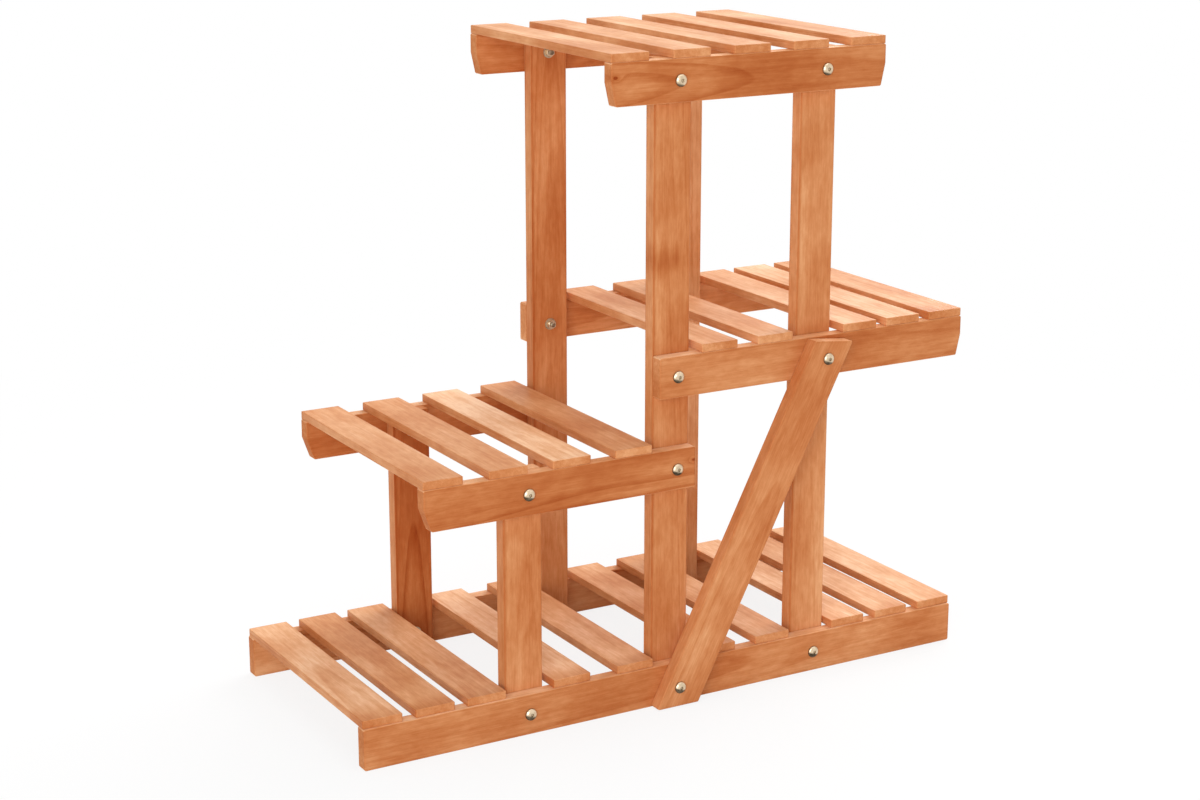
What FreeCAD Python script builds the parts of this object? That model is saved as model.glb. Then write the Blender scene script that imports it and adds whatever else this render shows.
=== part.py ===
import FreeCAD, Part
import math
import os

# Tiered plant stand of planed boards, bolted together, in millimetres.
# +Z is up, +X runs along the shelves and the front, with the diagonal brace, faces -Y.
# The boards are laid out from a corner: X from the left end of the bottom rails, Y from the
# outer face of the front rails and Z from the floor. On export everything moves to the
# origin, which lies on the floor under the middle of the stand's outline.

Vector = FreeCAD.Vector
X_AXIS = Vector(1, 0, 0)
Y_AXIS = Vector(0, 1, 0)
Z_AXIS = Vector(0, 0, 1)
ZERO = Vector(0, 0, 0)

# ---- Boards ----
board_width = 50.0
rail_thickness = 17.0
leg_thickness = 18.0
slat_thickness = 10.0
brace_width = 52.0
edge_bevel = 1.2            # the eased long edges of every board

# ---- The frame ----
stand_width = 830.0         # the bottom rails run the whole width
frame_depth = 346.0         # over the outer faces of the front and back rails
left_shelf_height = 269.5   # from the floor to the lower edge of each shelf's rails
right_shelf_height = 382.5
top_shelf_height = 729.5
left_leg_x = 188.5          # left edge of each pair of legs
middle_leg_x = 388.0
right_leg_x = 590.5
left_shelf_start = 80.5
top_shelf_start = 322.0
top_shelf_end = 700.0

# ---- Free rail ends: the lower corner is cut off on the slant ----
corner_cut_height = 27.0
left_shelf_corner_cut = 9.5
other_corner_cut = 6.0

# ---- Slats ----
bottom_slat_setback = 3.0   # the slat ends stay this far behind the outer face of the rails
upper_slat_setback = 1.0
left_shelf_leg_gap = 9.5    # between a slat and the leg beside it, from left to right
bottom_leg_gaps = (5.5, 7.5, 5.0, 13.0, 10.0, 4.5)
right_shelf_leg_gaps = (8.5, 15.0, 9.0)

# ---- Diagonal brace on the front ----
brace_thickness = rail_thickness
brace_lean = 27.0           # degrees from the vertical, towards +X
brace_foot_x = 405.7        # where its middle line would meet the floor
brace_foot_gap = 1.0        # the foot is cut level, just clear of the floor
brace_top_drop = 1.0        # its top left corner is this far below the rail's upper edge
brace_top_tilt = 6.0        # degrees by which the top cut falls towards +X
brace_foot_bolt_shift = -4.0

# ---- Bolts, washers and nuts (M6) ----
round_sides = 12            # small turned parts and their holes have this many flat sides
bolt_diameter = 6.0
bolt_length = 45.0
brace_bolt_length = 60.0
bolt_tip_chamfer = 0.8
head_diameter = 14.5
head_height = 4.0
head_rim = 0.9              # straight edge under the dome
shoulder_diameter = 12.2    # the dome in two facets: steep up to the shoulder,
shoulder_height = 2.7
crown_diameter = 7.6        # then flatter up to the crown
socket_width = 4.0          # hexagon socket, across the flats
socket_depth = 2.4
hole_diameter = 6.6
washer_diameter = 15.0
washer_thickness = 1.2
nut_width = 10.0            # across the flats
nut_thickness = 5.0
nut_bevel = 0.6             # at the corners of the nut's free face

# ---- Headless pins that hold the slats ----
pin_width = 1.2
pin_depth = 1.0
pin_length = 25.0
pin_cover = 1.0             # filled wood over each sunk pin
pin_spread = 14.0           # from the middle of the slat to each pin

overcut = 1.0               # how far a cutting tool reaches past the faces it opens

# ---- Derived sizes ----
front_overhang = brace_thickness + head_height
middle_of_outline = Vector(stand_width / 2, (frame_depth + head_height - front_overhang) / 2, 0)
leg_x = {"left": left_leg_x, "middle": middle_leg_x, "right": right_leg_x}
shelves = {
    "bottom": {"start": 0.0, "end": stand_width, "height": 0.0,
               "legs": ("left", "middle", "right")},
    "left_shelf": {"start": left_shelf_start, "end": middle_leg_x + board_width,
                   "height": left_shelf_height, "legs": ("left", "middle")},
    "right_shelf": {"start": middle_leg_x, "end": stand_width,
                    "height": right_shelf_height, "legs": ("middle", "right")},
    "top": {"start": top_shelf_start, "end": top_shelf_end,
            "height": top_shelf_height, "legs": ("middle", "right")},
}
leg_top = {"left": left_shelf_height + board_width,
           "middle": top_shelf_height + board_width,
           "right": top_shelf_height + board_width}


def parallel(edge, axis):
    """True for a straight edge that runs along the axis."""
    along = edge.Vertexes[-1].Point - edge.Vertexes[0].Point
    return abs(along.normalize().dot(axis)) > 0.999


def board(corner, size, axis):
    """A planed board from its low corner, with its four edges along the axis eased."""
    block = Part.makeBox(size.x, size.y, size.z, corner)
    long_edges = [edge for edge in block.Edges if parallel(edge, axis)]
    return block.makeChamfer(edge_bevel, long_edges)


def low_y(side, inset, thickness):
    """Low Y of a board whose outer face is inset from the rails' outer face."""
    if side == "front":
        return inset
    return frame_depth - inset - thickness


def slanted_corner(end_x, inward, cut, rail_base):
    """Wedge that takes off the lower corner of a rail's free end, across both rails."""
    outside = end_x - inward * overcut
    inside = end_x + inward * cut
    under = rail_base - overcut
    points = [Vector(outside, -overcut, under),
              Vector(inside, -overcut, under),
              Vector(inside, -overcut, rail_base),
              Vector(end_x, -overcut, rail_base + corner_cut_height),
              Vector(outside, -overcut, rail_base + corner_cut_height)]
    outline = Part.makePolygon(points + points[:1])
    return Part.Face(outline).extrude(Y_AXIS * (frame_depth + 2 * overcut))


def rail(shelf, side):
    """Rail of one shelf: a board on edge, its free ends cut on the slant at the bottom."""
    start, end, height = shelf["start"], shelf["end"], shelf["height"]
    corner = Vector(start, low_y(side, 0, rail_thickness), height)
    body = board(corner, Vector(end - start, rail_thickness, board_width), X_AXIS)
    if shelf is shelves["left_shelf"]:
        body = body.cut(slanted_corner(start, 1, left_shelf_corner_cut, height))
    if shelf is shelves["top"]:
        body = body.cut(slanted_corner(start, 1, other_corner_cut, height))
    if shelf is shelves["top"] or shelf is shelves["right_shelf"]:
        body = body.cut(slanted_corner(end, -1, other_corner_cut, height))
    return body


def leg(name, side):
    """Leg that stands on the floor, against the inner faces of the rails."""
    corner = Vector(leg_x[name], low_y(side, rail_thickness, leg_thickness), 0)
    return board(corner, Vector(board_width, leg_thickness, leg_top[name]), Z_AXIS)


def spread(start, end, count):
    """Left edges of slats spread evenly, the first and last flush with the span's ends."""
    pitch = (end - start - board_width) / (count - 1)
    return [start + index * pitch for index in range(count)]


def slat_positions():
    """Left edge of every slat of each shelf, in groups that leave room for the legs."""
    gaps = bottom_leg_gaps
    bottom = spread(0, left_leg_x - gaps[0], 3)
    bottom += spread(left_leg_x + board_width + gaps[1], middle_leg_x - gaps[2], 2)
    bottom += spread(middle_leg_x + board_width + gaps[3], right_leg_x - gaps[4], 2)
    bottom += spread(right_leg_x + board_width + gaps[5], stand_width, 3)
    gaps = right_shelf_leg_gaps
    right = spread(middle_leg_x + board_width + gaps[0], right_leg_x - gaps[1], 2)
    right += spread(right_leg_x + board_width + gaps[2], stand_width, 3)
    return {"bottom": bottom,
            "left_shelf": spread(left_shelf_start, middle_leg_x - left_shelf_leg_gap, 4),
            "right_shelf": right,
            "top": spread(top_shelf_start, top_shelf_end, 5)}


def slat(left, shelf):
    """Slat that lies across the two rails of its shelf."""
    setback = bottom_slat_setback if shelf is shelves["bottom"] else upper_slat_setback
    corner = Vector(left, setback, shelf["height"] + board_width)
    size = Vector(board_width, frame_depth - 2 * setback, slat_thickness)
    return board(corner, size, Y_AXIS)


def cutting_block(middle_x, low_z):
    """Large block across the brace, for trimming its ends."""
    length = 4 * board_width
    corner = Vector(middle_x - length / 2, -brace_thickness - overcut, low_z)
    return Part.makeBox(length, brace_thickness + 2 * overcut, length, corner)


def diagonal_brace():
    """Leaning board on the outer face of the front rails, its foot level, its top askew."""
    lean = math.radians(brace_lean)
    top_corner_z = right_shelf_height + board_width - brace_top_drop
    length = top_corner_z / math.cos(lean) + 2 * brace_width
    corner = Vector(-brace_width / 2, -brace_thickness, -brace_width)
    body = board(corner, Vector(brace_width, brace_thickness, length), Z_AXIS)
    body.rotate(ZERO, Y_AXIS, brace_lean)
    body.translate(Vector(brace_foot_x, 0, 0))

    below = cutting_block(brace_foot_x, 0)
    below.translate(Z_AXIS * (brace_foot_gap - below.BoundBox.ZMax))
    half_cut = brace_width / 2 / math.cos(lean)
    top_corner_x = brace_foot_x + top_corner_z * math.tan(lean) - half_cut
    above = cutting_block(top_corner_x, top_corner_z)
    above.rotate(Vector(top_corner_x, 0, top_corner_z), Y_AXIS, brace_top_tilt)
    return body.cut(below).cut(above)


def bolt_places():
    """Every bolted joint as (x, z, side, through_brace), one per rail and leg crossing."""
    places = []
    for shelf_name, shelf in shelves.items():
        for leg_name in shelf["legs"]:
            x = leg_x[leg_name] + board_width / 2
            z = shelf["height"] + board_width / 2
            at_foot = (shelf_name, leg_name) == ("bottom", "middle")
            at_top = (shelf_name, leg_name) == ("right_shelf", "right")
            foot_shift = brace_foot_bolt_shift if at_foot else 0.0
            places.append((x + foot_shift, z, "front", at_foot or at_top))
            places.append((x, z, "back", False))
    return places


def along_bolt(shape, place, depth):
    """Turn a fastener made along +Y and set it a depth inwards from the rail's outer face."""
    x, z, side, _ = place
    if side == "front":
        shape.translate(Vector(x, depth, z))
        return shape
    shape.rotate(ZERO, Z_AXIS, 180)
    shape.translate(Vector(x, frame_depth - depth, z))
    return shape


def turned(stations, sides=round_sides):
    """Solid about the Y axis through regular polygons, each given as (radius, y)."""
    turns = [2 * math.pi * index / sides for index in range(sides)]
    rings = [[Vector(radius * math.cos(turn), y, radius * math.sin(turn)) for turn in turns]
             for radius, y in stations]
    faces = [Part.Face(Part.makePolygon(ring + ring[:1])) for ring in (rings[0], rings[-1])]
    for near, far in zip(rings, rings[1:]):
        for side in range(sides):
            after = (side + 1) % sides
            corners = [near[side], near[after], far[after], far[side], near[side]]
            faces.append(Part.Face(Part.makePolygon(corners)))
    solid = Part.Solid(Part.Shell(faces))
    if solid.Volume < 0:
        solid.reverse()
    return solid


def dome_bolt(length):
    """Bolt with a domed head and a hexagon socket; the head seats at y = 0."""
    head = head_diameter / 2
    shank = bolt_diameter / 2
    body = turned([(crown_diameter / 2, -head_height), (shoulder_diameter / 2, -shoulder_height),
                   (head, -head_rim), (head, 0), (shank, 0), (shank, length - bolt_tip_chamfer),
                   (shank - bolt_tip_chamfer, length)])
    socket_corner = socket_width / math.sqrt(3)
    socket = turned([(socket_corner, -head_height - overcut),
                     (socket_corner, socket_depth - head_height)], 6)
    return body.cut(socket)


def washer():
    """Plain round washer from y = 0 along +Y."""
    disc = turned([(washer_diameter / 2, 0), (washer_diameter / 2, washer_thickness)])
    bore = turned([(hole_diameter / 2, -overcut),
                   (hole_diameter / 2, washer_thickness + overcut)])
    return disc.cut(bore)


def hexagon_nut():
    """Hexagon nut from y = 0 along +Y, bevelled round its free face."""
    corner = nut_width / math.sqrt(3)
    blank = turned([(corner, 0), (corner, nut_thickness - nut_bevel),
                    (corner - nut_bevel, nut_thickness)], 6)
    bore = turned([(bolt_diameter / 2, -overcut),
                   (bolt_diameter / 2, nut_thickness + overcut)])
    return blank.cut(bore)


def hole(place):
    """Clearance hole of one joint, through the brace, if it passes there, the rail and the leg."""
    reach = brace_thickness + rail_thickness + leg_thickness
    drill = turned([(hole_diameter / 2, -overcut), (hole_diameter / 2, reach + overcut)])
    return along_bolt(drill, place, -brace_thickness if place[3] else 0)


def pin_box(x, side, base):
    """One sunk pin, through the end of a slat into the rail below it."""
    top = base + board_width + slat_thickness - pin_cover
    middle_y = low_y(side, 0, rail_thickness) + rail_thickness / 2
    corner = Vector(x - pin_width / 2, middle_y - pin_depth / 2, top - pin_length)
    return Part.makeBox(pin_width, pin_depth, pin_length, corner)


def pins_of_slat(left, shelf):
    """The four pins of one slat."""
    middle = left + board_width / 2
    return [pin_box(middle + offset, side, shelf["height"])
            for side in ("front", "back") for offset in (-pin_spread, pin_spread)]


def meets(shape, tool):
    """True where the bounding boxes overlap, so that a cut is worth making."""
    return shape.BoundBox.intersect(tool.BoundBox)


def drilled(shape, tools):
    """The board with its holes and pin slots cut out."""
    tools = [tool for tool in tools if meets(shape, tool)]
    return shape.cut(tools).Solids[0]


def build():
    """Every node of the stand, by name."""
    places = bolt_places()
    holes = [hole(place) for place in places]
    positions = slat_positions()
    pins = []
    nodes = {}
    for shelf_name, shelf in shelves.items():
        for number, left in enumerate(positions[shelf_name], 1):
            own_pins = pins_of_slat(left, shelf)
            pins += own_pins
            nodes[f"{shelf_name}_slat_{number:02d}"] = drilled(slat(left, shelf), own_pins)
    for side in ("front", "back"):
        for shelf_name, shelf in shelves.items():
            nodes[f"{shelf_name}_rail_{side}"] = drilled(rail(shelf, side), holes + pins)
        for leg_name in leg_x:
            nodes[f"{leg_name}_leg_{side}"] = drilled(leg(leg_name, side), holes)
    nodes["diagonal_brace"] = drilled(diagonal_brace(), holes)

    grip = rail_thickness + leg_thickness
    rail_bolts = [along_bolt(dome_bolt(bolt_length), place, 0)
                  for place in places if not place[3]]
    brace_bolts = [along_bolt(dome_bolt(brace_bolt_length), place, -brace_thickness)
                   for place in places if place[3]]
    nodes["rail_bolts"] = Part.makeCompound(rail_bolts)
    nodes["brace_bolts"] = Part.makeCompound(brace_bolts)
    nodes["washers"] = Part.makeCompound([along_bolt(washer(), place, grip) for place in places])
    nodes["hexagon_nuts"] = Part.makeCompound(
        [along_bolt(hexagon_nut(), place, grip + washer_thickness) for place in places])
    nodes["slat_pins"] = Part.makeCompound(pins)
    return nodes


os.makedirs("parts", exist_ok=True)
for node_name, node_shape in build().items():
    node_shape.translate(-middle_of_outline)
    node_shape.exportStep(f"parts/{node_name}.step")
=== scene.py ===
import math

import bpy
import numpy as np
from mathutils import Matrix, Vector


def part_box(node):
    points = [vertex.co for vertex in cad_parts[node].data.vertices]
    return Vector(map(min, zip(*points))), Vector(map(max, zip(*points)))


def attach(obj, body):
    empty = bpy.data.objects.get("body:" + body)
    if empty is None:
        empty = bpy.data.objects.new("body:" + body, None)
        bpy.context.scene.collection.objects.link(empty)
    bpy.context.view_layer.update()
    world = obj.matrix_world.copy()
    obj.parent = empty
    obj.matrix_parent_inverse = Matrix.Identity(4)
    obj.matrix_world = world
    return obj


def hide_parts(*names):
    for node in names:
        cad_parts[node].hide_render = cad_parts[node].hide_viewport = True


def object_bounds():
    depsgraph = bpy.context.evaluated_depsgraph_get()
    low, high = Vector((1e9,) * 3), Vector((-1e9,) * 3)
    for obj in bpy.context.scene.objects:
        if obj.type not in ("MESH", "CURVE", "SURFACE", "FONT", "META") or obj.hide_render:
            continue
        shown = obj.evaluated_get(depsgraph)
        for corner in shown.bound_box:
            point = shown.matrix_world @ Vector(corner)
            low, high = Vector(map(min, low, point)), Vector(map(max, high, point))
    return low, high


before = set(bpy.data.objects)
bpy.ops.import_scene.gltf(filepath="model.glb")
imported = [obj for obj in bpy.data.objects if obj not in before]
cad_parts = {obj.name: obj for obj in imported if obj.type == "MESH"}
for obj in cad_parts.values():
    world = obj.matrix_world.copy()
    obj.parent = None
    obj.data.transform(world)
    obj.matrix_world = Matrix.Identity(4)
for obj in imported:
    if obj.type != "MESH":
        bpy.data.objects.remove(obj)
cad_low, cad_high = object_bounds()


# ---- Bottom rails ----
# Two softwood boards stand on edge at the floor and run the whole width of the stand. They are
# planed, sawn square at both ends, eased along their edges and stained orange-brown.

MM = 0.001
BODY = "root"
RAIL_EASE = 1.3 * MM        # radius along the edges of a rail's faces
RAIL_CORNER = 2.2 * MM      # radius of the corners of its outline
RAIL_EDGE_DEPTH_AND_TOP_LIGHT = -0.46     # less stain on its edges than on its faces, partly painted light on its top edge
RAIL_END_DEPTH = -0.06
ARC_STEPS = 4               # points across each rounded corner of an outline
EASE_STEPS = 4              # rings across each eased edge
EDGE_REACH = 2.2 * MM       # how far the stain that gathers at an edge runs onto the face
EDGE_GATHER = (0.7, 1.0, 0.8, 0.0)      # share of it on each ring from the face to the edge
STAIN = (0.447, 0.184, 0.0756)          # colour of the stain at a depth of one
STAIN_LIFT = (1.49, 1.52, 1.50)
LEAST_STAIN = 0.5           # the wood takes at least this depth
STAIN_SPREAD = 0.04         # how much the depth differs from board to board
RING_WIDTH = 4.2 * MM
RING_WANDER = 14 * MM       # how far the rings wander slowly
RING_RIPPLE = 1.1 * MM      # how far they ripple
RING_TAPER = 0.020          # how much their radius grows along the board
KNOT_SWELL = 7 * MM         # how far a knot pushes them outwards
KNOT_STRETCH = 0.62         # width of a knot over its length
KNOT_DEPTH = 0.5            # depth that a knot adds, and the wood round it
HALO_DEPTH = 0.22
TRUNK_RUN = 40              # length of the trunk that all boards are cut from
PITH_LOWEST = (-12 * MM, -75 * MM)      # where the pith may lie, across and under the board
PITH_HIGHEST = (12 * MM, -35 * MM)
WOOD_NOISES = {             # scale along and across, detail, roughness, swing of the depth
    "fibre": (45.0, 900.0, 2.0, 0.55, 0.055),
    "streak": (8.0, 270.0, 3.0, 0.62, 0.065),
    "band": (1.6, 62.0, 2.0, 0.5, 0.05),
    "cloud": (9.0, 17.0, 2.0, 0.5, 0.16),
    "mottle": (60.0, 150.0, 3.0, 0.6, 0.08),
    "drift": (3.0, 5.0, 1.0, 0.5, 0.14)}
draws = np.random.default_rng(41)


def add_node(tree, kind, inputs=None, **settings):
    """A node of the tree with its settings made and its inputs linked or set."""
    made = tree.nodes.new(kind)
    for name, value in settings.items():
        setattr(made, name, value)
    for name, value in (inputs or {}).items():
        if isinstance(value, bpy.types.NodeSocket):
            tree.links.new(value, made.inputs[name])
        else:
            made.inputs[name].default_value = value
    return made


def math_node(tree, operation, *values, clamp=False):
    """The result of one sum on sockets or numbers."""
    return add_node(tree, "ShaderNodeMath", dict(enumerate(values)),
                    operation=operation, use_clamp=clamp).outputs[0]


def vector_node(tree, operation, *values, result="Vector"):
    """The result of one vector sum."""
    return add_node(tree, "ShaderNodeVectorMath", dict(enumerate(values)),
                    operation=operation).outputs[result]


def noise_node(tree, place, scale, detail=2.0, roughness=0.5):
    """Noise from 0 to 1, its place first stretched by a scale along each axis."""
    stretched = vector_node(tree, "MULTIPLY", place, scale)
    return add_node(tree, "ShaderNodeTexNoise",
                    {"Vector": stretched, "Scale": 1.0, "Detail": detail,
                     "Roughness": roughness}).outputs["Fac"]


def between(tree, value, low, high, to_low=0.0, to_high=1.0):
    """The value brought smoothly from one range to another, and held at its ends."""
    return add_node(tree, "ShaderNodeMapRange",
                    {"Value": value, "From Min": low, "From Max": high,
                     "To Min": to_low, "To Max": to_high},
                    interpolation_type="SMOOTHSTEP").outputs["Result"]


def stained_wood(name):
    """Stained softwood cut from a trunk.

    The colour is the stain's colour raised to a depth, times a lift: where the wood drinks more
    stain the depth grows, and the wood turns darker and redder. Growth rings are shells round
    the pith: the distance from the pith line, drifting along the board as the trunk tapers and
    swelling round the knot, is divided by the ring width. Its fraction, raised to a power, makes
    a thin dark line of summerwood that fades inwards and stops at the ring's outer side. A patch
    of more depth, a stain on a leg and painted shade at a slat's front end, has a ragged end
    along the grain and a straighter one across it.
    """
    material = bpy.data.materials.new(name)
    material.use_nodes = True
    tree = material.node_tree
    shader = tree.nodes["Principled BSDF"]
    grain = add_node(tree, "ShaderNodeAttribute", attribute_name="grain").outputs["Vector"]
    pith = add_node(tree, "ShaderNodeAttribute", attribute_name="pith").outputs["Vector"]
    knot = add_node(tree, "ShaderNodeAttribute", attribute_name="knot").outputs["Vector"]
    look = add_node(tree, "ShaderNodeAttribute", attribute_name="look").outputs["Vector"]
    figure = add_node(tree, "ShaderNodeAttribute", attribute_name="figure").outputs["Fac"]
    patch = add_node(tree, "ShaderNodeAttribute", attribute_name="patch").outputs["Vector"]
    patch_reach = add_node(tree, "ShaderNodeAttribute",
                           attribute_name="patch_reach").outputs["Vector"]
    parts = add_node(tree, "ShaderNodeSeparateXYZ", {0: look})
    end_grain, edge, board_depth = parts.outputs[0], parts.outputs[1], parts.outputs[2]

    knot_size = add_node(tree, "ShaderNodeSeparateXYZ", {0: knot}).outputs[2]
    from_knot = vector_node(tree, "SUBTRACT", grain, knot)
    from_knot = vector_node(tree, "MULTIPLY", from_knot, (KNOT_STRETCH, 1.0, 0.0))
    knot_reach = vector_node(tree, "LENGTH", from_knot, result="Value")
    knot_reach = math_node(tree, "DIVIDE", knot_reach, math_node(tree, "MAXIMUM", knot_size, 1e-5))
    knot_swell = math_node(tree, "EXPONENT", math_node(tree, "MULTIPLY", knot_reach, -0.55))

    slow = noise_node(tree, grain, (2.2, 9.0, 9.0), detail=1.0)
    ripple = noise_node(tree, grain, (9.0, 60.0, 60.0), detail=2.0)
    from_pith = vector_node(tree, "SUBTRACT", grain, pith)
    along = add_node(tree, "ShaderNodeSeparateXYZ", {0: from_pith}).outputs[0]
    from_pith = vector_node(tree, "MULTIPLY", from_pith, (0.0, 1.0, 1.0))
    radius = vector_node(tree, "LENGTH", from_pith, result="Value")
    radius = math_node(tree, "ADD", radius, math_node(tree, "MULTIPLY", slow, RING_WANDER))
    radius = math_node(tree, "ADD", radius, math_node(tree, "MULTIPLY", ripple, RING_RIPPLE))
    radius = math_node(tree, "ADD", radius, math_node(tree, "MULTIPLY", along, RING_TAPER))
    radius = math_node(tree, "ADD", radius, math_node(tree, "MULTIPLY", knot_swell, KNOT_SWELL))
    rings = math_node(tree, "DIVIDE", radius, RING_WIDTH)
    step = math_node(tree, "FRACT", rings)
    summer = math_node(tree, "POWER", between(tree, step, 0.25, 0.92), 2.6)
    summer = math_node(tree, "MULTIPLY", summer, between(tree, step, 0.92, 1.0, 1.0, 0.0))
    board_seed = add_node(tree, "ShaderNodeSeparateXYZ", {0: pith}).outputs[0]
    ring_place = add_node(tree, "ShaderNodeCombineXYZ",
                          {0: math_node(tree, "FLOOR", rings), 1: board_seed})
    ring_strength = add_node(tree, "ShaderNodeTexWhiteNoise",
                             {"Vector": ring_place.outputs[0]}).outputs["Value"]
    ring_strength = math_node(tree, "POWER", ring_strength, 3.0)
    summer = math_node(tree, "MULTIPLY", summer, between(tree, ring_strength, 0.0, 1.0, 0.08, 1.0))

    ring_depth = math_node(tree, "MULTIPLY", figure,
                           math_node(tree, "MULTIPLY_ADD", end_grain, -0.4, 1.0))
    depth = math_node(tree, "MULTIPLY_ADD", summer, ring_depth, board_depth)
    noises = {}
    for label, (scale, scale_across, detail, roughness, swing) in WOOD_NOISES.items():
        noise = noise_node(tree, grain, (scale, scale_across, scale_across), detail, roughness)
        depth = math_node(tree, "ADD", depth, between(tree, noise, 0.2, 0.8, -swing, swing))
        noises[label] = noise
    heart = between(tree, knot_reach, 0.55, 1.05, 1.0, 0.0)
    halo = between(tree, knot_reach, 0.8, 3.0, 1.0, 0.0)
    gathered = between(tree, noises["cloud"], 0.30, 0.70, 0.42, 0.20)
    depth = math_node(tree, "MULTIPLY_ADD", edge, gathered, depth)
    depth = math_node(tree, "MULTIPLY_ADD", heart, KNOT_DEPTH, depth)
    depth = math_node(tree, "MULTIPLY_ADD", halo, HALO_DEPTH, depth)
    from_patch = vector_node(tree, "SUBTRACT", grain, patch)
    from_patch = vector_node(tree, "DIVIDE", from_patch, patch_reach)
    from_patch = add_node(tree, "ShaderNodeSeparateXYZ",
                          {0: vector_node(tree, "ABSOLUTE", from_patch)})
    ragged = math_node(tree, "MULTIPLY_ADD", noises["band"], 1.6, from_patch.outputs[0])
    patched = math_node(tree, "MULTIPLY", between(tree, ragged, 0.7, 2.3, 1.0, 0.0),
                        between(tree, from_patch.outputs[1], 0.93, 1.05, 1.0, 0.4))
    patched = math_node(tree, "MULTIPLY", patched, between(tree, end_grain, 0.0, 0.6, 1.0, 0.0))
    patch_depth = add_node(tree, "ShaderNodeSeparateXYZ", {0: patch_reach}).outputs[2]
    depth = math_node(tree, "MULTIPLY_ADD", patched, patch_depth, depth)
    depth = math_node(tree, "MAXIMUM", depth, LEAST_STAIN)
    colour = add_node(tree, "ShaderNodeGamma", {"Color": (*STAIN, 1.0), "Gamma": depth})
    colour = vector_node(tree, "MULTIPLY", colour.outputs[0], STAIN_LIFT)
    tree.links.new(colour, shader.inputs["Base Color"])

    rough = between(tree, noises["streak"], 0.2, 0.8, 0.36, 0.48)
    rough = math_node(tree, "MULTIPLY_ADD", end_grain, 0.18, rough)
    tree.links.new(rough, shader.inputs["Roughness"])
    shader.inputs["Specular IOR Level"].default_value = 0.07
    relief = math_node(tree, "MULTIPLY_ADD", summer, 0.3, noises["streak"])
    relief = math_node(tree, "MULTIPLY_ADD", noises["fibre"], 0.5, relief)
    bump = add_node(tree, "ShaderNodeBump",
                    {"Height": relief, "Strength": 0.35, "Distance": 0.25 * MM})
    tree.links.new(bump.outputs["Normal"], shader.inputs["Normal"])
    return material


def drawn_in(corners, distance):
    """Corners moved to lie the distance inside both of their edges, with the heading of the
    normal before each corner and the turn at it.

    Each goes back by the sum of the two edge normals times distance / (1 + their dot product).
    """
    edges = np.roll(corners, -1, axis=0) - corners
    headings = np.arctan2(-edges[:, 0], edges[:, 1])
    before = np.roll(headings, 1)
    turns = np.mod(headings - before, 2 * np.pi)
    into = np.stack([np.cos(before) + np.cos(headings), np.sin(before) + np.sin(headings)], 1)
    return corners - into * (distance / (1 + np.cos(turns)))[:, None], before, turns


def eased_outline(corners, radius):
    """Outline points, their outward normals and their sharpness, one arc at each corner.

    The centre of an arc lies one radius inside both edges. The normal turns evenly from the
    first edge's to the second's, and each point is the centre plus radius times it. The
    sharpness is the sine of half a turn over the arc: one at its middle, zero at its ends.
    """
    centres, before, turns = drawn_in(corners, radius)
    share = np.linspace(0, 1, ARC_STEPS)
    angles = before[:, None] + turns[:, None] * share[None, :]
    normals = np.stack([np.cos(angles), np.sin(angles)], 2)
    points = centres[:, None, :] + radius * normals
    sharpness = np.broadcast_to(np.sin(np.pi * share)[None, :], angles.shape)
    return points.reshape(-1, 2), normals.reshape(-1, 2), sharpness.reshape(-1)


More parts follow.
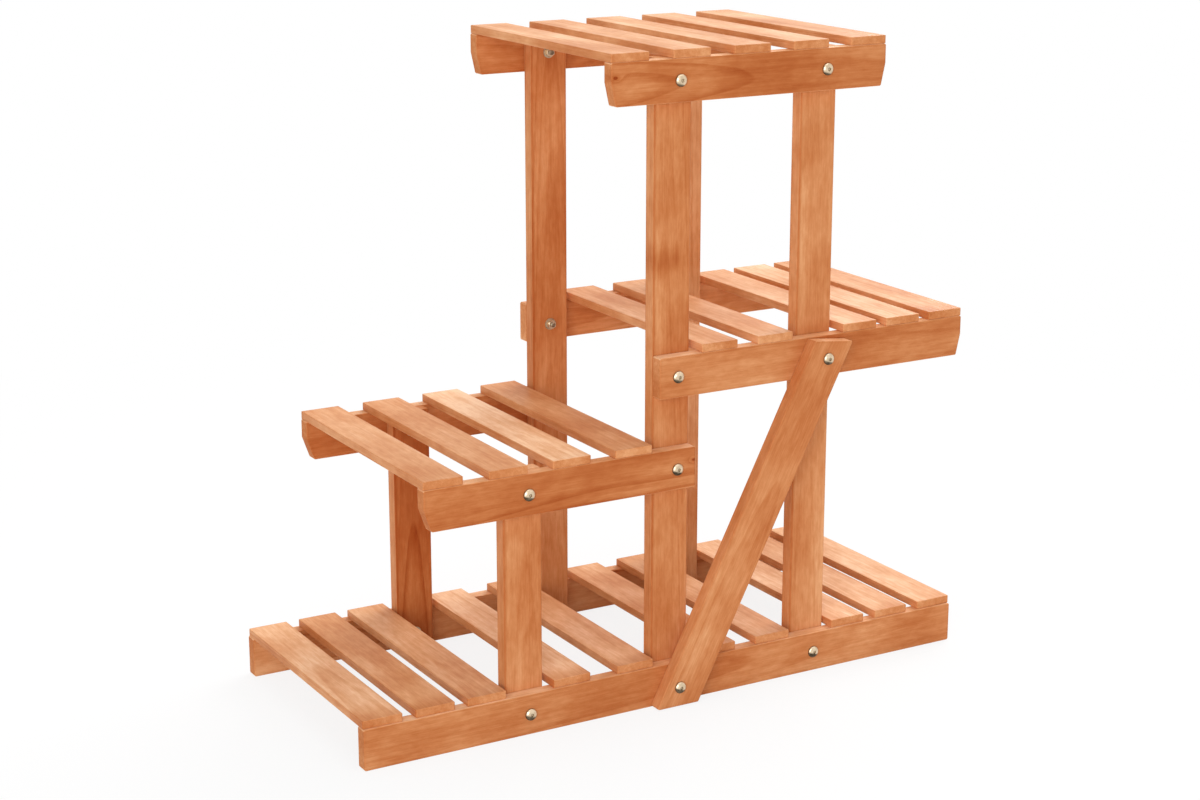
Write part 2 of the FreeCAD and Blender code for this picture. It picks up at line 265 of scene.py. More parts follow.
def board(node, corners, thickness, origin, along, across, ease, corner, depth=1.1,
          side_depth=0.0, end_depth=0.0, tend=(0.0, 0.0), figure=0.3, edge_stain=(0.2, 0.2),
          knot=(0, 0, 0), patch=(0, 0, 0), patch_reach=(1, 1, 0), start=None):
    """One board from its outline, in metres along and across the grain.

    Ring by ring, from the upper face to the lower, the outline is drawn in by
    ease * (1 - sin a) and stands at plus or minus (half the thickness less ease * (1 - cos a)),
    while a goes from 0 on the face to a right angle on the edge. One more ring on each face
    marks how far the edge's stain reaches, and the faces close the board.

    The stain's depth is the board's own, plus side_depth or end_depth times sin a squared on the
    edges and ends, and it grows evenly from end to end and from edge to edge by twice the two
    numbers of tend. A knot has its place along and across and its size, and a patch its place,
    its reach both ways and the depth that it adds. The start is where in the trunk it is cut.
    """
    corners = np.asarray(corners, float)
    points, normals, sharpness = eased_outline(corners, corner)
    inner = eased_outline(drawn_in(corners, EDGE_REACH)[0], corner)[0]
    quarter = np.linspace(0, np.pi / 2, EASE_STEPS)
    turn = np.concatenate([[0], quarter, quarter[::-1], [0]])
    side = np.repeat([1.0, -1.0], EASE_STEPS + 1)
    inset = ease * (1 - np.sin(turn))
    height = side * (thickness / 2 - ease * (1 - np.cos(turn)))
    outlines = np.stack([inner] + [points] * (2 * EASE_STEPS) + [inner])
    flat = outlines - inset[:, None, None] * normals[None]
    rings, around = flat.shape[:2]
    local = np.concatenate([flat, np.broadcast_to(height[:, None, None], (rings, around, 1))], 2)
    tilt = np.sin(turn)[:, None, None] * normals[None]
    lift = np.broadcast_to((side * np.cos(turn))[:, None, None], (rings, around, 1))
    local_normals = np.concatenate([tilt, lift], 2)

    axes = np.array([along, across, np.cross(along, across)], float)
    vertices = local.reshape(-1, 3) @ axes + np.asarray(origin, float)
    vertex_normals = local_normals.reshape(-1, 3) @ axes
    index = np.arange(rings * around).reshape(rings, around)
    onward = np.roll(index, -1, axis=1)
    walls = np.stack([index[:-1], index[1:], onward[1:], onward[:-1]], 2).reshape(-1, 4)
    faces = walls.tolist() + [index[0].tolist(), index[-1][::-1].tolist()]

    mesh = bpy.data.meshes.new(f"{node}_board")
    mesh.from_pydata(vertices.tolist(), [], faces)
    mesh.shade_smooth()
    mesh.normals_split_custom_set_from_vertices(vertex_normals.tolist())

    shift = np.array([draws.uniform(0, TRUNK_RUN), 0, 0])
    if start is not None:
        shift[0] = start
    lie = draws.uniform(PITH_LOWEST, PITH_HIGHEST)
    board_depth = depth + draws.uniform(-STAIN_SPREAD, STAIN_SPREAD)
    centre = points.mean(0)
    pith = np.array([0, lie[0], lie[1]])
    grain = local.reshape(-1, 3) - np.array([0, centre[1], 0]) + shift
    at_end = np.where(np.abs(normals[:, 0]) > 0.9, 1.0, 0.0)
    gather = np.array([0, *EDGE_GATHER, *EDGE_GATHER[::-1], 0])
    stain = edge_stain[0] + (edge_stain[1] - edge_stain[0]) * (0.5 + 0.5 * normals[:, 1])
    edge = stain * np.maximum(gather[:, None], sharpness * np.sin(turn)[:, None])
    off_face = side_depth + (end_depth - side_depth) * at_end
    half = (points.max(0) - points.min(0)) / 2
    drink = board_depth + off_face * np.sin(turn)[:, None] ** 2
    drink = drink + (flat[..., :2] - points.min(0) - half) / half @ np.array(tend)
    look = np.stack([at_end * np.sin(turn)[:, None], edge, drink], 2)
    count = len(vertices)
    middle = np.array([0, centre[1], 0])
    for label, values in (("grain", grain), ("look", look.reshape(-1, 3)), ("pith", pith + shift),
                          ("knot", np.array(knot) - middle + shift),
                          ("patch", np.array(patch) - middle + shift),
                          ("patch_reach", np.array(patch_reach))):
        attribute = mesh.attributes.new(label, "FLOAT_VECTOR", "POINT")
        values = np.broadcast_to(values, (count, 3))
        attribute.data.foreach_set("vector", np.ascontiguousarray(values, np.float32).ravel())

    attribute = mesh.attributes.new("figure", "FLOAT", "POINT")
    attribute.data.foreach_set("value", np.full(count, figure, np.float32))

    piece = bpy.data.objects.new(f"{node}_board", mesh)
    bpy.context.scene.collection.objects.link(piece)
    mesh.materials.append(rail_wood)
    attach(piece, BODY)
    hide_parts(node)


def rail(node, left_cut=0.0, right_cut=0.0, cut_height=0.0, side_depth=RAIL_EDGE_DEPTH_AND_TOP_LIGHT,
         end_depth=RAIL_END_DEPTH, **extra):
    """A board on edge along X, with a slanted cut at the lower corner of its free ends."""
    low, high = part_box(node)
    length, width = high.x - low.x, high.z - low.z
    corners = [(left_cut, 0), (length - right_cut, 0)]
    if right_cut:
        corners.append((length, cut_height))
    corners += [(length, width), (0, width)]
    if left_cut:
        corners.append((0, cut_height))
    origin = (low.x, (low.y + high.y) / 2, low.z)
    board(node, corners, high.y - low.y, origin, (1, 0, 0), (0, 0, 1), RAIL_EASE, RAIL_CORNER,
          side_depth=side_depth, end_depth=end_depth, **extra)


rail_wood = stained_wood("stained_softwood_grain")
# A rail's edges take less stain; on its top edge this also stands for painted light from above.
rail("bottom_rail_front", depth=1.12, figure=0.2, end_depth=0.06, tend=(0, 0.08))
rail("bottom_rail_back", depth=0.96, side_depth=-0.38, end_depth=0.3)


# ---- Legs ----
# Six upright boards stand on the floor against the inner faces of the rails: a short pair on the
# left and two tall pairs. They are the same planed and stained softwood as the rails.

LEG_EASE = 1.4 * MM
LEG_CORNER = 1.8 * MM
LEG_SIDE_DEPTH = -0.06
LEG_END_DEPTH = -0.3
LEG_EDGE_STAIN = (1.0, 0.1)                 # on the left and on the right edges
LEG_PATCH = (545 * MM, 17 * MM, 0)          # middle of a stain patch, along and across
LEG_PATCH_REACH = (18 * MM, 18 * MM, 0.30)  # its reach along and across, and its depth


def leg(node, side_depth=LEG_SIDE_DEPTH, **extra):
    """An upright board, its broad faces turned to the front and back."""
    low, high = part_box(node)
    length, width = high.z - low.z, high.x - low.x
    corners = [(0, 0), (length, 0), (length, width), (0, width)]
    origin = (low.x, (low.y + high.y) / 2, low.z)
    board(node, corners, high.y - low.y, origin, (0, 0, 1), (1, 0, 0), LEG_EASE, LEG_CORNER,
          side_depth=side_depth, end_depth=LEG_END_DEPTH, edge_stain=LEG_EDGE_STAIN, **extra)


leg("left_leg_front", depth=1.08, side_depth=0.0, figure=0.13)
leg("left_leg_back", depth=1.40, figure=0.40, side_depth=-0.37)
leg("middle_leg_front", depth=1.20, figure=0.13, tend=(0, 0.09), patch=LEG_PATCH,
    patch_reach=LEG_PATCH_REACH)
leg("middle_leg_back", depth=1.16, figure=0.45)
leg("right_leg_front", depth=1.07, figure=0.1, tend=(0, 0.03))
leg("right_leg_back", depth=0.94, figure=0.2)


# ---- Shelf rails ----
# Three upper shelves hang on pairs of rails bolted to the legs. The lower corners of their free
# ends are sawn off on the slant, more steeply on the left shelf.

CUT_HEIGHT = 27 * MM
LEFT_SHELF_CUT = 9.5 * MM
OTHER_CUT = 6 * MM
LEFT_SHELF_KNOT = (355 * MM, 34 * MM, 2 * MM)       # along, across and size
TOP_KNOT = (5 * MM, 33 * MM, 2.2 * MM)

# side_depth lightens a rail's edges: less stain, and on the top edges painted light from above as
# well.
rail("left_shelf_rail_front", left_cut=LEFT_SHELF_CUT, cut_height=CUT_HEIGHT,
     side_depth=-0.56, end_depth=0.0, depth=1.27, figure=0.45, knot=LEFT_SHELF_KNOT, start=12.4)
rail("left_shelf_rail_back", left_cut=LEFT_SHELF_CUT, cut_height=CUT_HEIGHT, depth=1.30)
rail("right_shelf_rail_front", right_cut=OTHER_CUT, cut_height=CUT_HEIGHT, depth=1.19)
rail("right_shelf_rail_back", right_cut=OTHER_CUT, cut_height=CUT_HEIGHT, end_depth=-0.25,
     depth=1.13)
rail("top_rail_front", left_cut=OTHER_CUT, right_cut=OTHER_CUT, cut_height=CUT_HEIGHT,
     side_depth=-0.6, depth=1.23, figure=0.7, knot=TOP_KNOT)
rail("top_rail_back", left_cut=OTHER_CUT, right_cut=OTHER_CUT, cut_height=CUT_HEIGHT, depth=1.20)


# ---- Slats ----
# Thin boards lie across each pair of rails and make the shelves. Each is pinned down at both
# ends with thin headless pins, sunk and filled, so that nothing shows on top.

SLAT_EASE = 0.9 * MM
SLAT_CORNER = 1.3 * MM
SLAT_DEPTH = {"bottom": 0.82, "left_shelf": 0.86, "right_shelf": 0.81, "top": 0.85}
SLAT_SIDE_DEPTH = 0.99      # depth on the edges and ends, whatever the face took
SLAT_END_DEPTH = 1.08
SLAT_FIGURE = 0.15
# Slats that took less or more of the stain than the rest of their shelf.
APART_SLATS = {"left_shelf_slat_03": 0.57, "bottom_slat_04": 0.61, "bottom_slat_08": 0.71,
               "bottom_slat_01": 0.71, "bottom_slat_10": 0.70, "right_shelf_slat_03": 0.70,
               "right_shelf_slat_04": 0.67, "top_slat_04": 0.76, "top_slat_03": 0.79,
               "right_shelf_slat_05": 0.87}
# Painted shade on the top of a slat near its front end, given as extra depth of stain, and how far
# along it reaches.
PAINTED_END_SHADE = {"bottom_slat_01": 0.22, "bottom_slat_02": 0.28, "bottom_slat_04": 0.34,
               "bottom_slat_03": 0.10, "bottom_slat_05": 0.12, "bottom_slat_09": 0.14,
               "bottom_slat_10": 0.10, "right_shelf_slat_05": 0.12, "left_shelf_slat_04": 0.12}
END_SHADE_REACH = 30 * MM


def slat(node, depth, **extra):
    """A thin board along Y, lying flat; the stain's depth is given for its broad faces."""
    low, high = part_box(node)
    length, width = high.y - low.y, high.x - low.x
    corners = [(0, 0), (length, 0), (length, width), (0, width)]
    origin = (high.x, low.y, (low.z + high.z) / 2)
    board(node, corners, high.z - low.z, origin, (0, 1, 0), (-1, 0, 0), SLAT_EASE, SLAT_CORNER,
          depth=depth, side_depth=SLAT_SIDE_DEPTH - depth, end_depth=SLAT_END_DEPTH - depth,
          figure=SLAT_FIGURE, **extra)


for node in sorted(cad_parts):
    if "_slat_" in node:
        shelf = node.split("_slat_")[0]
        # A slat's patch is painted shade on its top near the front end.
        slat(node, APART_SLATS.get(node, SLAT_DEPTH[shelf]),
             patch_reach=(END_SHADE_REACH, 1, PAINTED_END_SHADE.get(node, 0)))


# ---- Diagonal brace ----
# One board leans across the front, from the foot of the middle leg to the right shelf, and keeps
# the stand square. Its foot is sawn level and its top a little askew.

BRACE_LEAN = math.radians(27)
BRACE_WIDTH = 52 * MM
BRACE_TOP_TILT = math.radians(6)
BRACE_DEPTH = 1.14
BRACE_END_DEPTH = -0.25
BRACE_FIGURE = 0.12


def brace(node):
    """A leaning board; its corners follow from its box, its lean and its width.

    Both sides rise by the lean, and the top falls by its tilt: where it meets the far side, the
    height is less by reach * tan(tilt) / (1 + tan(lean) * tan(tilt)).
    """
    low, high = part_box(node)
    reach = BRACE_WIDTH / math.cos(BRACE_LEAN)
    rise = high.z - low.z
    slope = math.tan(BRACE_LEAN)
    fall = math.tan(BRACE_TOP_TILT)
    drop = reach * fall / (1 + slope * fall)
    upright = [(0, 0), (reach, 0), (reach + slope * (rise - drop), rise - drop),
               (slope * rise, rise)]
    up = np.array([math.sin(BRACE_LEAN), math.cos(BRACE_LEAN)])
    over = np.array([math.cos(BRACE_LEAN), -math.sin(BRACE_LEAN)])
    corners = np.array(upright) @ np.array([up, over]).T
    origin = (low.x, (low.y + high.y) / 2, low.z)
    board(node, corners[::-1], high.y - low.y, origin, (up[0], 0, up[1]), (over[0], 0, over[1]),
          RAIL_EASE, RAIL_CORNER, depth=BRACE_DEPTH, end_depth=BRACE_END_DEPTH,
          figure=BRACE_FIGURE)


brace("diagonal_brace")


# ---- Bolts ----
# Domed steel bolts with a hexagon socket hold every rail to every leg, from the outside. They are
# turned, rolled with a thread at the tip and zinc plated, which leaves a pale, creamy shine.

SHANK_RADIUS = 3 * MM
HEAD_RADIUS = 7.25 * MM
HEAD_HEIGHT = 4 * MM
HEAD_RIM = 0.9 * MM
SOCKET_WIDTH = 4 * MM
SOCKET_DEPTH = 2.4 * MM
BOLT_LENGTH = 45 * MM
BRACE_BOLT_LENGTH = 60 * MM
TIP_CHAMFER = 0.8 * MM
THREAD_PITCH = 1 * MM
THREAD_DEPTH = 0.45 * MM
THREAD_LENGTH = 11 * MM
BRACE_FOOT_SHIFT = -4 * MM  # of the bolt at the brace's foot, from the middle of the leg
TURN_STEPS = 48
DOME_STEPS = 12
SOCKET_POINT = 0.5 * MM     # depth of the drill's cone under the socket
SOCKET_ROUND = 0.1 * MM
LIP_ROUND = 0.12 * MM
RIM_ROUND = 0.25 * MM
THREAD_STEPS = 6            # rings to each turn of the thread
# Darkening of the zinc from socket to tip: dirt and painted shade in the socket, a little dirt at
# its lip, dirt on the thread and painted shade on the tip.
SOCKET_DIRT_AND_SHADE = [0.5, 0.5, 0.45, 0.3]
LIP_DIRT = 0.1
THREAD_DIRT = 0.6
TIP_SHADE = 0.8
BRIGHT_ZINC = (0.84, 0.67, 0.47, 1.0)
DULL_ZINC = (0.65, 0.51, 0.34, 1.0)
# Colour of the dirt and of the painted shade on the zinc.
ZINC_GRIME_AND_SHADE = (0.070, 0.050, 0.028, 1.0)
LOW_SHADE_HEIGHT = 0.8          # height at which the lower sides of the heads lose their painted shade
LOW_SHADE_REACH = 0.42          # reach of the painted shade up a head at the floor


def mixed(tree, factor, first, second):
    """Two colours mixed by a factor; the node takes them at its sockets 6 and 7."""
    return add_node(tree, "ShaderNodeMix", {0: factor, 6: first, 7: second},
                    data_type="RGBA").outputs[2]


def zinc_plate(name):
    """Zinc plate: a creamy metal clouded by fine noise.

    It is dull and dark where its dirt and painted shade are high, and on the lower side of each
    head, which takes painted shade: less so the higher the head sits on the stand.
    """
    material = bpy.data.materials.new(name)
    material.use_nodes = True
    tree = material.node_tree
    shader = tree.nodes["Principled BSDF"]
    place = add_node(tree, "ShaderNodeTexCoord").outputs["Object"]
    dirt_and_shade = add_node(tree, "ShaderNodeAttribute", attribute_name="dirt_and_shade").outputs["Fac"]
    cloud = noise_node(tree, place, (260, 260, 260), detail=3.0)
    scratch = noise_node(tree, place, (900, 3000, 900), detail=2.0)
    colour = mixed(tree, between(tree, cloud, 0.3, 0.7), BRIGHT_ZINC, DULL_ZINC)
    height = add_node(tree, "ShaderNodeSeparateXYZ", {0: place}).outputs[2]
    # Painted shade on the lower side of each head, less the higher the head sits on the stand.
    low_side_shade = add_node(tree, "ShaderNodeAttribute", attribute_name="low_side_shade").outputs["Fac"]
    low_side_shade = math_node(tree, "SUBTRACT", low_side_shade,
                         between(tree, height, 0.0, LOW_SHADE_HEIGHT, 0.0, LOW_SHADE_REACH))
    dirt_and_shade = math_node(tree, "MAXIMUM", dirt_and_shade, between(tree, low_side_shade, 0.0, LOW_SHADE_REACH))
    dirt_and_shade = math_node(tree, "MULTIPLY", dirt_and_shade, between(tree, cloud, 0.2, 0.7, 1.1, 0.8), clamp=True)
    # Dirt and painted shade pull the zinc towards the dark grime colour.
    colour = mixed(tree, dirt_and_shade, colour, ZINC_GRIME_AND_SHADE)
    tree.links.new(colour, shader.inputs["Base Color"])
    shader.inputs["Metallic"].default_value = 0.9
    gloss = between(tree, scratch, 0.2, 0.8, 0.24, 0.38)
    tree.links.new(math_node(tree, "MULTIPLY_ADD", dirt_and_shade, 0.25, gloss), shader.inputs["Roughness"])
    bump = add_node(tree, "ShaderNodeBump",
                    {"Height": scratch, "Strength": 0.3, "Distance": 0.05 * MM})
    tree.links.new(bump.outputs["Normal"], shader.inputs["Normal"])
    return material


def hexagon_radius(angles, width):
    """Distance to the rim of a hexagon: half its width over the cosine of the angle, measured
    from the middle of the nearest flat."""
    flat = np.mod(angles + np.pi / 6, np.pi / 3) - np.pi / 6
    return width / 2 / np.cos(flat)


def turned_surface(radii, depths, dirt_and_shade):
    """Vertices, groups of faces and dirt and painted shade of a closed surface about the Y axis.

    Each station is a ring of points at radius * (cos, sin) of the turn and at its depth along Y;
    the first and last rings shrink to one point each.
    """
    stations, steps = radii.shape
    angles = np.linspace(0, 2 * np.pi, steps, endpoint=False)
    ring = np.stack([radii * np.cos(angles), depths, -radii * np.sin(angles)], 2)
    ends = np.array([[0, depths[0].mean(), 0], [0, depths[-1].mean(), 0]])
    vertices = np.concatenate([ring.reshape(-1, 3), ends])
    index = np.arange(stations * steps).reshape(stations, steps)
    onward = np.roll(index, -1, axis=1)
    walls = np.stack([index[:-1], onward[:-1], onward[1:], index[1:]], 2).reshape(-1, 4)
    first = np.full(steps, stations * steps)
    caps = np.concatenate([np.stack([first, onward[0], index[0]], 1),
                           np.stack([first + 1, index[-1], onward[-1]], 1)])
    dirt_and_shade = np.concatenate([np.repeat(dirt_and_shade, steps), [dirt_and_shade[0], dirt_and_shade[-1]]])
    return vertices, (walls, caps), dirt_and_shade


def dome_bolt(length):
    """A bolt from its socket to its tip, with y = 0 where the head seats.

    The dome is a quarter ellipse from the socket's lip to the rim: the radius is the head's
    times sin a, and the height above the rim is the rise times cos a. The thread swings the
    radius in by a wave of the depth and the turn together, which winds it round the shank.
    Dirt and painted shade fill the socket, and painted shade fills the joint under the rim. Over
    the dome a little dirt fades from the lip and painted shade grows towards the rim, both by
    powers of the way from the lip. The thread is darkened by dirt and the tip by painted shade.
    """
    angles = np.linspace(0, 2 * np.pi, TURN_STEPS, endpoint=False)
    ones = np.ones(TURN_STEPS)
    rise = HEAD_HEIGHT - HEAD_RIM
    socket = hexagon_radius(angles, SOCKET_WIDTH)
    floor = SOCKET_DEPTH - HEAD_HEIGHT
    lip = np.linspace(0, 1, DOME_STEPS)[:, None]
    start = np.arcsin(socket / HEAD_RADIUS)
    slope = start + lip * (np.pi / 2 - start)
    sweep = HEAD_RADIUS * np.sin(slope)
    dome_depth = -HEAD_RIM - rise * np.cos(slope) / np.cos(start.min())
    radii = [0.2 * socket, 0.92 * socket, socket, socket]
    depths = [floor + SOCKET_POINT + 0 * ones, floor + 0 * ones,
              floor - SOCKET_ROUND + 0 * ones, dome_depth[0] + LIP_ROUND]
    radii += list(sweep + np.r_[SOCKET_ROUND, np.zeros(DOME_STEPS - 1)][:, None])
    depths += list(dome_depth)
    radii += [HEAD_RADIUS * ones, (HEAD_RADIUS - RIM_ROUND) * ones, SHANK_RADIUS * ones]
    depths += [-RIM_ROUND * ones, 0 * ones, 0 * ones]
    # A little dirt fades from the lip; painted shade darkens the dome towards its rim and fills
    # the rim's joint and the shank.
    dome_dirt_and_rim_shade = LIP_DIRT * (1 - lip[:, 0]) ** 4 + lip[:, 0] ** 8
    dirt_and_shade = SOCKET_DIRT_AND_SHADE + list(dome_dirt_and_rim_shade) + [1.0] * 3
    start = length - THREAD_LENGTH
    for depth in np.arange(start, length - TIP_CHAMFER, THREAD_PITCH / THREAD_STEPS):
        wave = np.abs(np.mod(depth / THREAD_PITCH - angles / (2 * np.pi), 1.0) - 0.5) * 2
        fade = min(1.0, (depth - start) / THREAD_PITCH)
        radii.append(SHANK_RADIUS - THREAD_DEPTH * wave * fade)
        depths.append(depth * ones)
    radii.append((SHANK_RADIUS - TIP_CHAMFER) * ones)
    depths.append(length * ones)
    dirt_and_shade += [THREAD_DIRT] * (len(radii) - len(dirt_and_shade) - 1) + [TIP_SHADE]
    return turned_surface(np.array(radii), np.array(depths), np.array(dirt_and_shade))


def joint_places():
    """Middle of each bolted joint on the rail's outer face, as (x, y, z, towards, with_brace)."""
    joints = []
    crossings = {"bottom": ("left", "middle", "right"), "left_shelf": ("left", "middle"),
                 "right_shelf": ("middle", "right"), "top": ("middle", "right")}
    for shelf, legs in crossings.items():
        for pair in legs:
            for side, towards in (("front", 1), ("back", -1)):
                rail_low, rail_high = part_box(f"{shelf}_rail_{side}")
                leg_low, leg_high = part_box(f"{pair}_leg_{side}")
                braced = side == "front" and (shelf, pair) in (("bottom", "middle"),
                                                               ("right_shelf", "right"))
                at_foot = braced and shelf == "bottom"
                x = (leg_low.x + leg_high.x) / 2 + (BRACE_FOOT_SHIFT if at_foot else 0)
                y = rail_low.y if side == "front" else rail_high.y
                joints.append((x, y, (rail_low.z + rail_high.z) / 2, towards, braced))
    return joints


def fastener_set(name, node, shape, places, material, sharp_angle=35):
    """One piece that holds the shape at each place; towards -1 turns it half round about Z.

    The painted shade on the lower side of a head grows with how far a point lies below the
    head's axis, and a little to the left of it, over the head's radius; it is zero behind the
    head.
    """
    vertices, face_groups, dirt_and_shade = shape
    all_vertices, all_faces = [], []
    for x, y, z, towards in places:
        turned = vertices * np.array([towards, towards, 1.0])
        offset = len(all_vertices) * len(vertices)
        for faces in face_groups:
            all_faces += (faces + offset).tolist()
        all_vertices.append(turned + np.array([x, y, z]))
    mesh = bpy.data.meshes.new(name)
    mesh.from_pydata(np.concatenate(all_vertices).tolist(), [], all_faces)
    mesh.shade_smooth()
    mesh.set_sharp_from_angle(angle=math.radians(sharp_angle))
    # How deep each point lies in the painted shade on a head's lower side.
    low_side_shade = -(vertices[:, 2] + 0.3 * vertices[:, 0]) / HEAD_RADIUS * (vertices[:, 1] < 0)
    # Each point's dirt and painted shade, and the painted shade on a head's lower side.
    for label, values in (("dirt_and_shade", dirt_and_shade), ("low_side_shade", low_side_shade)):
        attribute = mesh.attributes.new(label, "FLOAT", "POINT")
        attribute.data.foreach_set("value", np.tile(values, len(places)).astype(np.float32))
    mesh.materials.append(material)
    piece = bpy.data.objects.new(name, mesh)
    bpy.context.scene.collection.objects.link(piece)
    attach(piece, BODY)
    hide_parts(node)


joints = joint_places()
bolt_zinc = zinc_plate("zinc_plate_clouded")
brace_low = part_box("diagonal_brace")[0]
fastener_set("rail_bolts_turned", "rail_bolts", dome_bolt(BOLT_LENGTH),
             [(x, y, z, towards) for x, y, z, towards, braced in joints if not braced], bolt_zinc)
fastener_set("brace_bolts_turned", "brace_bolts", dome_bolt(BRACE_BOLT_LENGTH),
             [(x, brace_low.y, z, towards) for x, y, z, towards, braced in joints if braced],
             bolt_zinc)


# ---- Washers and nuts ----
# On the inner face of each leg a plain stamped washer and a hexagon nut close the joint. Both are
# zinc plated steel like the bolts.

WASHER_RADIUS = 7.5 * MM
WASHER_BORE = 3.3 * MM
WASHER_THICKNESS = 1.2 * MM
WASHER_ROUND = 0.3 * MM
WASHER_DIRT = 0.4
NUT_WIDTH = 10 * MM
NUT_THICKNESS = 5 * MM
NUT_FACE_RADIUS = 4.75 * MM
NUT_BORE = 2.75 * MM
NUT_CONE = math.radians(30)
NUT_DIRT = 0.12
NUT_SHARP_ANGLE = 20        # the chamfer meets the wall at a flat angle, and stays crisp


def closed_ring(radii, depths, dirt_and_shade):
    """Vertices, groups of faces and dirt of a ring about the Y axis.

    Each station is a ring of points at radius * (cos, sin) of the turn and at its depth along Y,
    and the last station joins the first.
    """
    stations, steps = radii.shape
    angles = np.linspace(0, 2 * np.pi, steps, endpoint=False)
    vertices = np.stack([radii * np.cos(angles), depths, -radii * np.sin(angles)], 2)
    index = np.arange(stations * steps).reshape(stations, steps)
    after = np.roll(index, -1, axis=0)
    walls = np.stack([index, np.roll(index, -1, 1), np.roll(after, -1, 1), after], 2)
    return vertices.reshape(-1, 3), (walls.reshape(-1, 4),), np.full(radii.size, dirt_and_shade)


def washer_shape():
    """A flat ring, its outer rim rounded on the side where the stamp came down."""
    ones = np.ones(TURN_STEPS)
    shy = 0.3 * WASHER_ROUND    # the middle of the round lies this far in from both faces
    stations = [(WASHER_BORE, WASHER_THICKNESS), (WASHER_BORE, 0), (WASHER_RADIUS, 0),
                (WASHER_RADIUS, WASHER_THICKNESS - WASHER_ROUND),
                (WASHER_RADIUS - shy, WASHER_THICKNESS - shy),
                (WASHER_RADIUS - WASHER_ROUND, WASHER_THICKNESS)]
    radii = np.array([radius * ones for radius, _ in stations])
    depths = np.array([depth * ones for _, depth in stations])
    return closed_ring(radii, depths, WASHER_DIRT)


def nut_shape():
    """A hexagon whose corners run into a cone round the free face: at each turn the wall stops
    where the cone's height, falling by the tangent of its angle per step outwards, meets it."""
    angles = np.linspace(0, 2 * np.pi, TURN_STEPS, endpoint=False)
    ones = np.ones(TURN_STEPS)
    wall = hexagon_radius(angles, NUT_WIDTH)
    corner = NUT_THICKNESS - (wall - NUT_FACE_RADIUS) * math.tan(NUT_CONE)
    radii = [NUT_BORE * ones, NUT_BORE * ones, wall, wall, NUT_FACE_RADIUS * ones]
    depths = [NUT_THICKNESS * ones, 0 * ones, 0 * ones, corner, NUT_THICKNESS * ones]
    return closed_ring(np.array(radii), np.array(depths), NUT_DIRT)


leg_low, leg_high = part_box("middle_leg_front")
rail_low, rail_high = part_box("bottom_rail_front")
grip = (leg_high.y - leg_low.y) + (rail_high.y - rail_low.y)
inner = [(x, y + towards * grip, z, towards) for x, y, z, towards, _ in joints]
on_washer = [(x, y + towards * WASHER_THICKNESS, z, towards) for x, y, z, towards in inner]
fastener_set("washers_stamped", "washers", washer_shape(), inner, bolt_zinc)
fastener_set("hexagon_nuts_cut", "hexagon_nuts", nut_shape(), on_washer, bolt_zinc,
             NUT_SHARP_ANGLE)


# ---- Slat pins ----
# Thin steel pins pass through each slat end into the rail. They are cut from wire and driven
# below the surface, and the filler over them is stained with the wood.

WIRE_DARK = (0.38, 0.38, 0.39, 1.0)
WIRE_PALE = (0.60, 0.60, 0.60, 1.0)


def drawn_wire(name):
    """Bare drawn wire: grey steel with fine lines along its length."""
    material = bpy.data.materials.new(name)
    material.use_nodes = True
    tree = material.node_tree
    shader = tree.nodes["Principled BSDF"]
    place = add_node(tree, "ShaderNodeTexCoord").outputs["Object"]
    lines = noise_node(tree, place, (4000, 4000, 120), detail=2.0)
    colour = mixed(tree, lines, WIRE_DARK, WIRE_PALE)
    tree.links.new(colour, shader.inputs["Base Color"])
    shader.inputs["Metallic"].default_value = 1.0
    tree.links.new(between(tree, lines, 0.2, 0.8, 0.3, 0.5), shader.inputs["Roughness"])
    return material


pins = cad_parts["slat_pins"]
pins.data.materials.clear()
pins.data.materials.append(drawn_wire("drawn_wire_lines"))


# ---- Studio ----
# A plain pale floor that runs out of sight, three large soft lights (above, to the right and low
# at the front left), even light from the room, and a camera at the photograph's viewing angle.

FLOOR_SIZE = 40
FLOOR_DROP = 0.2 * MM
FLOOR_COLOUR = (0.85, 0.85, 0.85, 1.0)
FLOOR_SEEN = (0.92, 0.92, 0.92, 1.0)
FLOOR_GLOW = 0.85
CAMERA_PLACE = (-1.410, -2.417, 1.103)
CAMERA_YAW = math.radians(30.03)
CAMERA_PITCH = math.radians(-15.24)
CAMERA_LENS = 70.35
ROOM_LIGHT = 0.45
GLOW_NEAR = 0.5             # distances from the stand's middle between which the floor's
GLOW_FAR = 1.8              # shadow fades into white
SOFT_LIGHTS = (             # name, place, size and power
    ("soft_light_above", (0.2, -0.1, 6.0), 5.0, 110),
    ("soft_light_right", (4.2, 2.2, 3.6), 4.4, 248),
    ("soft_light_front_left", (-3.3, -4.0, 1.5), 3.4, 156))


def background_rays(tree):
    """One for rays that see the background: from the camera, off metal or through glass."""
    path = add_node(tree, "ShaderNodeLightPath")
    rays = math_node(tree, "MAXIMUM", path.outputs["Is Camera Ray"], path.outputs["Is Glossy Ray"])
    return math_node(tree, "MAXIMUM", rays, path.outputs["Is Transmission Ray"])


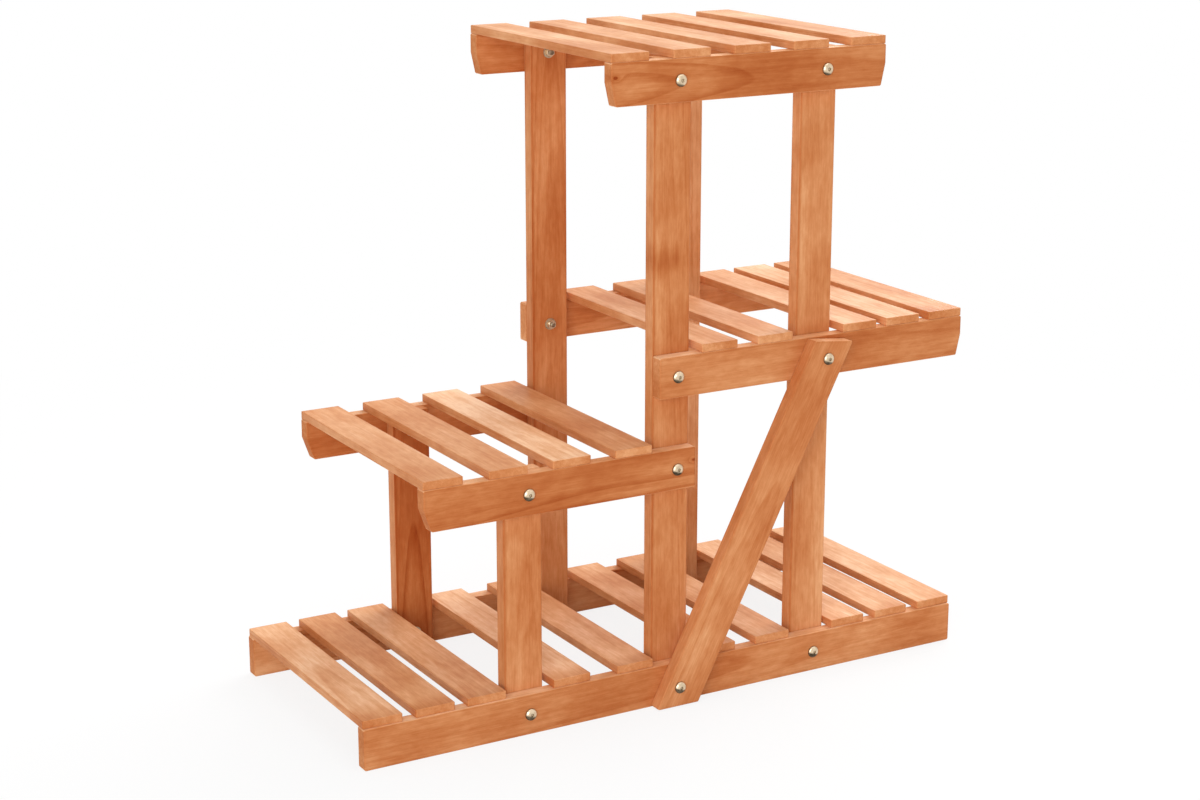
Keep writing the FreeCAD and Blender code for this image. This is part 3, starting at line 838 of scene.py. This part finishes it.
def studio_floor():
    """A wide flat sheet; what the camera sees of it is lifted towards white, shadow and all."""
    half = FLOOR_SIZE / 2
    mesh = bpy.data.meshes.new("studio_floor")
    mesh.from_pydata([(-half, -half, -FLOOR_DROP), (half, -half, -FLOOR_DROP),
                      (half, half, -FLOOR_DROP), (-half, half, -FLOOR_DROP)], [], [(0, 1, 2, 3)])
    material = bpy.data.materials.new("studio_paper")
    material.use_nodes = True
    tree = material.node_tree
    tree.nodes.clear()
    rays = background_rays(tree)
    paper = add_node(tree, "ShaderNodeBsdfDiffuse",
                     {"Color": mixed(tree, rays, FLOOR_COLOUR, FLOOR_SEEN)})
    glow = add_node(tree, "ShaderNodeEmission", {"Color": (1, 1, 1, 1), "Strength": 1.0})
    place = add_node(tree, "ShaderNodeTexCoord").outputs["Object"]
    reach = vector_node(tree, "LENGTH", place, result="Value")
    share = math_node(tree, "MULTIPLY", rays,
                      between(tree, reach, GLOW_NEAR, GLOW_FAR, FLOOR_GLOW, 1.0))
    mix = add_node(tree, "ShaderNodeMixShader", {0: share, 1: paper.outputs[0],
                                                 2: glow.outputs[0]})
    add_node(tree, "ShaderNodeOutputMaterial", {"Surface": mix.outputs[0]})
    mesh.materials.append(material)
    floor = bpy.data.objects.new("studio_floor", mesh)
    bpy.context.scene.collection.objects.link(floor)


def soft_light(name, place, size, power):
    """A square light that faces the middle of the stand."""
    data = bpy.data.lights.new(name, "AREA")
    data.shape = "SQUARE"
    data.size = size
    data.energy = power
    lamp = bpy.data.objects.new(name, data)
    lamp.location = place
    middle = (cad_low + cad_high) / 2
    lamp.rotation_euler = (middle - lamp.location).to_track_quat("-Z", "Y").to_euler()
    lamp.visible_camera = False
    bpy.context.scene.collection.objects.link(lamp)


def studio_world():
    """Even light from all round, and plain white where the camera looks past the floor."""
    world = bpy.data.worlds.new("studio_room")
    bpy.context.scene.world = world
    world.use_nodes = True
    tree = world.node_tree
    tree.nodes.clear()
    strength = add_node(tree, "ShaderNodeMix",
                        {"Factor": background_rays(tree), 2: ROOM_LIGHT, 3: 1.0})
    room = add_node(tree, "ShaderNodeBackground", {"Color": (1, 1, 1, 1),
                                                   "Strength": strength.outputs[0]})
    add_node(tree, "ShaderNodeOutputWorld", {"Surface": room.outputs[0]})


studio_floor()
studio_world()
for name, place, size, power in SOFT_LIGHTS:
    soft_light(name, place, size, power)

camera_data = bpy.data.cameras.new("camera")
camera_data.lens = CAMERA_LENS
camera = bpy.data.objects.new("camera", camera_data)
camera.location = CAMERA_PLACE
camera.rotation_euler = (math.pi / 2 + CAMERA_PITCH, 0, -CAMERA_YAW)
bpy.context.scene.collection.objects.link(camera)
bpy.context.scene.camera = camera
bpy.context.scene.view_settings.view_transform = "Standard"
